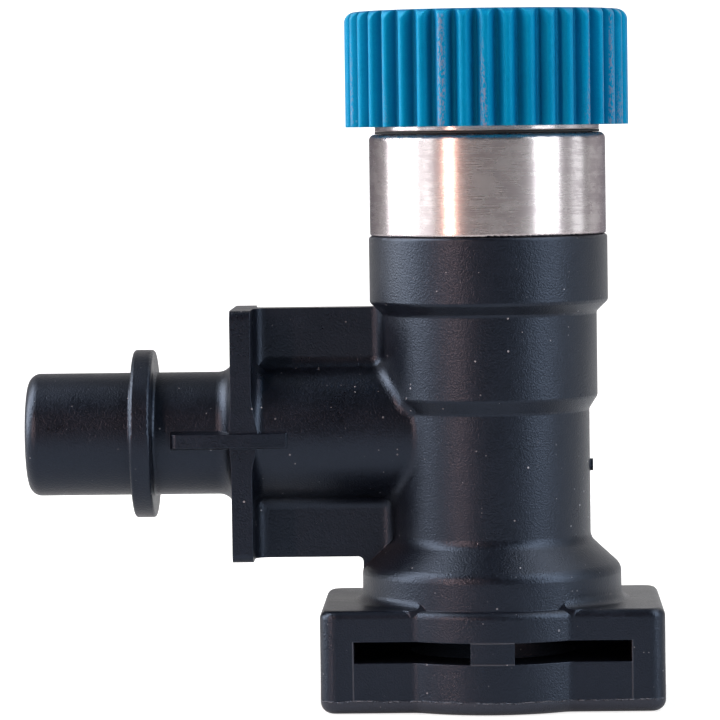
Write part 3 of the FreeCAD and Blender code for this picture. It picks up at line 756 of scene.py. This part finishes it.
def extrude(shape: bmesh.types.BMesh, edges: Loop) -> tuple[Loop, list[bmesh.types.BMVert]]:
    """Extrudes edges in place.

    Args:
        shape: The mesh that the edges belong to.
        edges: The edges.

    Returns:
        The new edges and the new vertices.
    """
    grown = bmesh.ops.extrude_edge_only(shape, edges=edges)["geom"]
    return ([item for item in grown if isinstance(item, bmesh.types.BMEdge)],
            [item for item in grown if isinstance(item, bmesh.types.BMVert)])


class Blank:
    """A mesh while it is being shaped about the valve's upright axis, in metres."""

    def __init__(self) -> None:
        """Starts with nothing in the mesh."""
        self.shape = bmesh.new()

    def ring(self, radius: float, level: float, segments: int) -> Loop:
        """Lays a circle about the axis.

        Args:
            radius: The circle's radius.
            level: Its height.
            segments: Number of its edges.

        Returns:
            The circle's edges.
        """
        made = bmesh.ops.create_circle(self.shape, segments=segments, radius=radius,
                                       matrix=Matrix.Translation((0.0, 0.0, level)))
        return edges_of(made["verts"])

    def draw(self, edges: Loop, steps: Iterable[Step]) -> Loop:
        """Extrudes a loop of edges about the axis through steps of width and height.

        Args:
            edges: The loop to start from.
            steps: Factor on the width and rise for each step.

        Returns:
            The last loop's edges.
        """
        for factor, rise in steps:
            edges, verts = extrude(self.shape, edges)
            bmesh.ops.scale(self.shape, verts=verts, vec=(factor, factor, 1.0))
            bmesh.ops.translate(self.shape, verts=verts, vec=(0.0, 0.0, rise))
        return edges

    def turn_on(self, edges: Loop, radius: float, profile: Iterable[Step]) -> Loop:
        """Extrudes a circle along a profile of radii and rises.

        Args:
            edges: The circle to start from.
            radius: Its radius.
            profile: Radius and rise of each step.

        Returns:
            The last circle's edges.
        """
        steps = []
        for wanted, rise in profile:
            steps.append((wanted / radius, rise))
            radius = wanted
        return self.draw(edges, steps)

    def cap(self, edges: Loop) -> None:
        """Closes open loops with faces."""
        bmesh.ops.holes_fill(self.shape, edges=edges, sides=0)

    def weld(self) -> None:
        """Merges the vertices that lie in one place."""
        bmesh.ops.remove_doubles(self.shape, verts=self.shape.verts, dist=WELD_DISTANCE)

    def take_in(self, other: "Blank") -> None:
        """Adds another blank's shape and frees that blank.

        Args:
            other: The other blank.
        """
        mesh = bpy.data.meshes.new("taken_in")
        other.shape.to_mesh(mesh)
        other.shape.free()
        self.shape.from_mesh(mesh)
        bpy.data.meshes.remove(mesh)

    def finish(self, name: str, ride: Ride, slot: Slot, material: Material,
               stands_for: str | None = None) -> Piece:
        """Welds the mesh and makes it a piece of the valve.

        Args:
            name: The piece's name.
            ride: The body that it moves with.
            slot: The record's slot of its finish; not used.
            material: The finish.
            stands_for: The node that it replaces, if any.

        Returns:
            The piece.
        """
        self.weld()
        piece = put_in_scene(name, to_mesh(name, self.shape, material))
        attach(piece, ride.value)
        if stands_for is not None:
            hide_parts(stands_for)
        LOG.info("piece %s rides on %s", name, ride.value)
        return piece


@dataclass(frozen=True)
class KnobScrew:
    """Pan-head screw with a cross recess that holds the knob, in metres and, for turns, degrees."""

    head_top: float = 78.26 * MM
    head_radius: float = 3.5 * MM
    head_height: float = 1.6 * MM
    rim_share: float = 0.60
    land_radius: float = 2.3 * MM
    dome: tuple[Step, ...] = ((2.75 * MM, -0.08 * MM), (3.1 * MM, -0.16 * MM), (3.36 * MM, -0.22 * MM))
    dome_fall: float = 0.18 * MM
    shank_radius: float = 1.98 * MM
    shank_length: float = 8.0 * MM
    shank_lead: float = 0.2 * MM
    thread_root: float = 1.65 * MM
    thread_pitch: float = 0.7 * MM
    wing_reach: float = 1.75 * MM
    wing_half_width: float = 0.38 * MM
    wing_root: float = 1.5
    recess_turn: float = 20.0
    recess_depth: float = 1.2 * MM
    recess_taper: tuple[float, float] = (0.93, 0.55)
    segments: int = 64

    def cross(self, blank: Blank) -> Loop:
        """Lays the recess's cross-shaped outline in the head's top.

        Args:
            blank: The mesh being shaped.

        Returns:
            The outline's edges.
        """
        reach = self.wing_reach
        half = self.wing_half_width
        root = half * self.wing_root
        verts = []
        for turn in range(4):
            spin = Matrix.Rotation(math.pi / 2 * turn + math.radians(self.recess_turn), 3, "Z")
            for x, y in ((reach, -half), (reach, half), (root, root)):
                verts.append(blank.shape.verts.new(spin @ Vector((x, y, self.head_top))))
        return [blank.shape.edges.new((verts[i - 1], verts[i])) for i in range(len(verts))]

    def thread(self) -> list[Step]:
        """Profile of the shank's thread.

        Returns:
            Radius and rise of each step.
        """
        half_pitch = self.thread_pitch / 2
        steps = [(self.shank_radius, -self.shank_lead)]
        for _ in range(int(self.shank_length / self.thread_pitch) - 1):
            steps += [(self.thread_root, -half_pitch), (self.shank_radius, -half_pitch)]
        left = self.shank_length + sum(rise for _, rise in steps)
        return [*steps, (self.thread_root, -left)]

    def build(self, material: Material) -> Piece:
        """Builds the screw in the knob's recess.

        Args:
            material: The screw's finish.

        Returns:
            The screw.
        """
        blank = Blank()
        land = blank.ring(self.land_radius, self.head_top, self.segments)
        outline = self.cross(blank)
        bmesh.ops.triangle_fill(blank.shape, edges=land + outline, use_beauty=True)
        blank.cap(blank.draw(outline, [(taper, -self.recess_depth / 2) for taper in self.recess_taper]))
        head = (*self.dome, (self.head_radius, -self.dome_fall),
                (self.head_radius, -self.rim_share * self.head_height), (self.shank_radius, 0.0))
        shank = blank.turn_on(land, self.land_radius, head)
        blank.cap(blank.turn_on(shank, self.shank_radius, self.thread()))
        return blank.finish("cross_recess_screw", Ride.KNOB, Slot.STAINLESS, material, "knob_screw")


@dataclass(frozen=True)
class NeckShadeRing:
    """Thin black ring filling the groove between the head's grip ring and its neck, as painted shade, in
    metres.
    """

    inner_radius: float = 11.62 * MM
    outer_radius: float = 12.78 * MM
    foot: float = 64.79 * MM
    height: float = 0.29 * MM
    edge: float = 0.05 * MM
    segments: int = 160

    def build(self, material: Material) -> Piece:
        """Builds the ring.

        Args:
            material: The ring's rubber.

        Returns:
            The ring.
        """
        blank = Blank()
        inner = blank.ring(self.inner_radius, self.foot, self.segments)
        shoulder = self.outer_radius - self.edge
        profile = ((shoulder, 0.0), (self.outer_radius, self.edge),
                   (self.outer_radius, self.height - 2 * self.edge), (shoulder, self.edge),
                   (self.inner_radius, 0.0), (self.inner_radius, -self.height))
        blank.turn_on(inner, self.inner_radius, profile)
        return blank.finish("neck_shade_ring", Ride.BODY, Slot.SEAL_RUBBER, material)


@dataclass(frozen=True)
class WovenScreen:
    """Woven wire disc of the inlet's strainer, in metres."""

    radius: float = 5.5 * MM
    middle: float = 17.6 * MM
    wire_radius: float = 0.1 * MM
    pitch: float = 0.7 * MM
    sides: int = 6
    steps_per_pitch: int = 4

    def height(self, place: float, phase: float) -> float:
        """Height of a wire's wave over the screen's middle at a place along it."""
        return self.wire_radius * math.sin(math.pi * place / self.pitch + phase)

    def wire(self, aside: float, along_y: bool, phase: float) -> Blank:
        """Weaves one wire across the disc.

        Args:
            aside: The wire's distance from the disc's middle.
            along_y: Whether the wire runs along Y rather than X.
            phase: Where in its wave the wire passes the middle.

        Returns:
            The wire, in a blank of its own because that is much faster to extrude.
        """
        blank = Blank()
        half = math.sqrt(self.radius ** 2 - aside ** 2)
        step = self.pitch / self.steps_per_pitch
        count = max(2, int(2 * half / step))
        start = -step * count / 2
        lie = Matrix.Rotation(math.pi / 2, 4, "Z") if along_y else Matrix.Identity(4)
        put = Matrix.Translation((start, aside, self.middle + self.height(start, phase)))
        made = bmesh.ops.create_circle(blank.shape, cap_ends=True, segments=self.sides,
                                       radius=self.wire_radius,
                                       matrix=lie @ put @ Matrix.Rotation(math.pi / 2, 4, "Y"))
        edges = edges_of(made["verts"])
        turn = lie.to_3x3()
        for index in range(count):
            here = start + index * step
            rise = self.height(here + step, phase) - self.height(here, phase)
            edges, verts = extrude(blank.shape, edges)
            bmesh.ops.translate(blank.shape, verts=verts, vec=turn @ Vector((step, 0.0, rise)))
        blank.cap(edges)
        return blank

    def build(self, material: Material) -> Piece:
        """Builds the screen.

        Args:
            material: The wires' finish.

        Returns:
            The screen.
        """
        blank = Blank()
        count = int(self.radius / self.pitch)
        for index in range(-count, count + 1):
            turn = math.pi * (index % 2)
            blank.take_in(self.wire(index * self.pitch, False, turn + math.pi / 2))
            blank.take_in(self.wire(index * self.pitch, True, turn - math.pi / 2))
        return blank.finish("woven_screen", Ride.BODY, Slot.STAINLESS, material, "strainer_screen")


@dataclass(frozen=True)
class CheckSpring:
    """Coil spring that closes the check valve, in metres."""

    wire_radius: float = 0.2 * MM
    turns: int = 6
    steps_per_turn: int = 36
    sides: int = 14
    fixed_end: float = -48.6 * MM
    travel: float = 2.0 * MM

    def build(self, material: Material) -> Piece:
        """Winds the spring between the poppet and its guide.

        Args:
            material: The wire's finish.

        Returns:
            The spring.
        """
        low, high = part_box("check_spring")
        middle = (low + high) / 2
        coil_radius = (high.y - low.y) / 2 - self.wire_radius
        rise = high.x - low.x - 2 * self.wire_radius
        steps = self.turns * self.steps_per_turn
        blank = Blank()
        start = Matrix.Translation((low.x + self.wire_radius, middle.y, middle.z + coil_radius))
        across = Matrix.Rotation(math.pi / 2, 4, "X")
        made = bmesh.ops.create_circle(blank.shape, cap_ends=False, segments=self.sides,
                                       radius=self.wire_radius, matrix=start @ across)
        bmesh.ops.spin(blank.shape, geom=[*made["verts"], *edges_of(made["verts"])], cent=middle,
                       axis=(1.0, 0.0, 0.0), dvec=(rise / steps, 0.0, 0.0), angle=2 * math.pi * self.turns,
                       steps=steps)
        blank.weld()
        blank.cap([edge for edge in blank.shape.edges if edge.is_boundary])
        for face in blank.shape.faces:
            face.smooth = True
        spring = blank.finish("check_valve_spring", Ride.BODY, Slot.STAINLESS, material, "check_spring")
        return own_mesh(spring)


@dataclass(frozen=True)
class Softbox:
    """One lamp, placed by its bearing round the valve's axis from the front, right being positive."""

    name: str
    bearing: float
    distance: float
    height: float
    width: float
    tallness: float
    radiance: float
    colour: Colour = WHITE

    def hang(self, target: Vector) -> None:
        """Hangs the lamp facing a point.

        Args:
            target: The point it faces.
        """
        data = bpy.data.lights.new(self.name, "AREA")
        data.shape = "RECTANGLE"
        data.size = self.width
        data.size_y = self.tallness
        data.color = self.colour
        data.energy = self.radiance * math.pi * self.width * self.tallness
        lamp = put_in_scene(self.name, data)
        lamp.visible_camera = False
        angle = math.radians(self.bearing)
        place = Vector((self.distance * math.sin(angle), -self.distance * math.cos(angle), self.height))
        aim = (target - place).to_track_quat("-Z", "Y").to_matrix().to_4x4()
        lamp.matrix_world = Matrix.Translation(place) @ aim


@dataclass(frozen=True)
class Studio:
    """White studio round the valve: floor, backdrop, soft lamps and camera, in metres and degrees."""

    camera_place: Triple = (0.00125, -0.50004, 0.06644)
    lens: float = 219.14
    sensor: float = 36.0
    clip: tuple[float, float] = (0.01, 20.0)
    yaw: float = 1.838
    pitch: float = 3.134
    roll: float = 0.774
    lamp_aim: float = 0.04
    floor_drop: float = 0.05 * MM
    floor_front: float = -0.7
    floor_back: float = 0.55
    backdrop_curve: float = 0.35
    backdrop_steps: int = 12
    backdrop_top: float = 1.6
    backdrop_width: float = 3.0
    side_gloss: Band = (-0.08, 0.10, 0.17, 0.42)
    depth_gloss: Band = (-0.16, -0.02, 0.2, 1.0)
    shadow_lift: Band = (0.05, 0.25, 0.75, 1.0)
    room_light: Band = (0.15, 0.55, 0.12, 0.05)

    def build(self) -> None:
        """Builds floor, world, lamps and camera."""
        self.build_floor()
        self.build_world()
        for softbox in SOFTBOXES:
            softbox.hang(Vector((0.0, 0.0, self.lamp_aim)))
        self.build_camera()

    def build_floor(self) -> None:
        """Lays the pale floor just under the foot and curves it up into the backdrop."""
        shape = bmesh.new()
        run = [(self.floor_front, 0.0), (self.floor_back, 0.0)]
        for step in range(1, self.backdrop_steps + 1):
            angle = math.pi / 2 * step / self.backdrop_steps
            run.append((self.floor_back + self.backdrop_curve * math.sin(angle),
                        self.backdrop_curve * (1 - math.cos(angle))))
        run.append((self.floor_back + self.backdrop_curve, self.backdrop_top))
        left = [shape.verts.new((-self.backdrop_width / 2, y, z - self.floor_drop)) for y, z in run]
        _, moved = extrude(shape, [shape.edges.new(pair) for pair in zip(left, left[1:])])
        bmesh.ops.translate(shape, verts=moved, vec=(self.backdrop_width, 0.0, 0.0))
        for face in shape.faces:
            face.smooth = True
        floor = put_in_scene("floor", to_mesh("floor", shape, self.floor_material()))

    def floor_material(self) -> Material:
        """Pale paper that shows white to the camera, softer in gloss, and keeps the valve's shadow.

        Returns:
            The material.
        """
        material = bpy.data.materials.new("pale_paper")
        material.use_nodes = True
        graph = Graph(material.node_tree)
        path = graph.node("ShaderNodeLightPath")
        place = graph.place()
        axes = graph.axes(place)
        gloss = graph.product(graph.ramp(axes.outputs["X"], *self.side_gloss),
                              graph.ramp(axes.outputs["Y"], *self.depth_gloss))
        seen = graph.math("MAXIMUM", path.outputs["Is Camera Ray"], path.outputs["Is Transmission Ray"])
        seen = graph.math("MAXIMUM", seen, graph.product(path.outputs["Is Glossy Ray"], gloss))
        lift = graph.ramp(graph.length(place), *self.shadow_lift)
        shader = graph.node("ShaderNodeBsdfPrincipled", {
            "Base Color": (0.45, 0.45, 0.45, 1.0), "Roughness": 0.95, "Specular IOR Level": 0.1,
            "Emission Color": (*WHITE, 1.0), "Emission Strength": graph.product(seen, lift)})
        graph.node("ShaderNodeOutputMaterial", {"Surface": shader.outputs[0]})
        return material

    def build_world(self) -> None:
        """Lights softly from the horizon, less from above, and shows the camera white."""
        world = bpy.data.worlds.new("studio")
        bpy.context.scene.world = world
        world.use_nodes = True
        graph = Graph(world.node_tree)
        path = graph.node("ShaderNodeLightPath")
        seen = graph.math("MAXIMUM", path.outputs["Is Camera Ray"], path.outputs["Is Transmission Ray"])
        rise = graph.axes(graph.node("ShaderNodeTexCoord").outputs["Generated"]).outputs["Z"]
        strength = graph.math("MAXIMUM", seen, graph.ramp(rise, *self.room_light))
        background = graph.node("ShaderNodeBackground", {"Color": (*WHITE, 1.0), "Strength": strength})
        graph.node("ShaderNodeOutputWorld", {"Surface": background.outputs[0]})

    def build_camera(self) -> None:
        """Sets up the camera where the photograph was taken from."""
        data = bpy.data.cameras.new("camera")
        data.lens = self.lens
        data.sensor_width = self.sensor
        data.clip_start, data.clip_end = self.clip
        camera = put_in_scene("camera", data)
        turn = Matrix.Rotation(math.radians(self.yaw), 4, "Z")
        tilt = Matrix.Rotation(math.radians(90 - self.pitch), 4, "X")
        lean = Matrix.Rotation(math.radians(-self.roll), 4, "Z")
        camera.matrix_world = Matrix.Translation(self.camera_place) @ turn @ tilt @ lean
        bpy.context.scene.camera = camera


SOFTBOXES = (
    Softbox("left_softbox", bearing=-92.0, distance=0.55, height=0.36, width=0.48, tallness=0.76,
            radiance=6.2),
    Softbox("left_front_softbox", bearing=-60.0, distance=0.65, height=0.30, width=0.16, tallness=0.60,
            radiance=1.6),
    Softbox("warm_strip", bearing=-37.0, distance=0.80, height=0.26, width=0.05, tallness=0.60, radiance=30.0,
            colour=(1.0, 0.58, 0.45)),
    Softbox("right_softbox", bearing=60.0, distance=0.60, height=0.36, width=0.32, tallness=0.76,
            radiance=4.8, colour=(0.94, 0.98, 1.0)),
    Softbox("right_side_softbox", bearing=98.0, distance=0.60, height=0.32, width=0.20, tallness=0.66,
            radiance=1.0, colour=(0.94, 0.98, 1.0)),
    Softbox("left_high_softbox", bearing=-100.0, distance=0.26, height=0.52, width=0.30, tallness=0.24,
            radiance=1.4),
    Softbox("right_high_softbox", bearing=100.0, distance=0.26, height=0.52, width=0.30, tallness=0.24,
            radiance=2.4),
)


def main() -> None:
    """Builds the looks in order and reports each piece."""
    logging.basicConfig(level=logging.INFO, format="%(name)s: %(message)s")
    bpy.context.scene.view_settings.view_transform = "Standard"
    effects = {kind.effect: kind().tree for kind in EFFECTS}
    materials = {slot: finish.build(effects) for slot, finish in FINISHES.items()}
    dress_nodes(materials)
    KnobScrew().build(materials[Slot.STAINLESS])
    # The black ring in the neck's groove is painted shade
    NeckShadeRing().build(materials[Slot.SEAL_RUBBER])
    WovenScreen().build(materials[Slot.STAINLESS])
    CheckSpring().build(materials[Slot.STAINLESS])
    Studio().build()


if __name__ == "__main__":
    main()
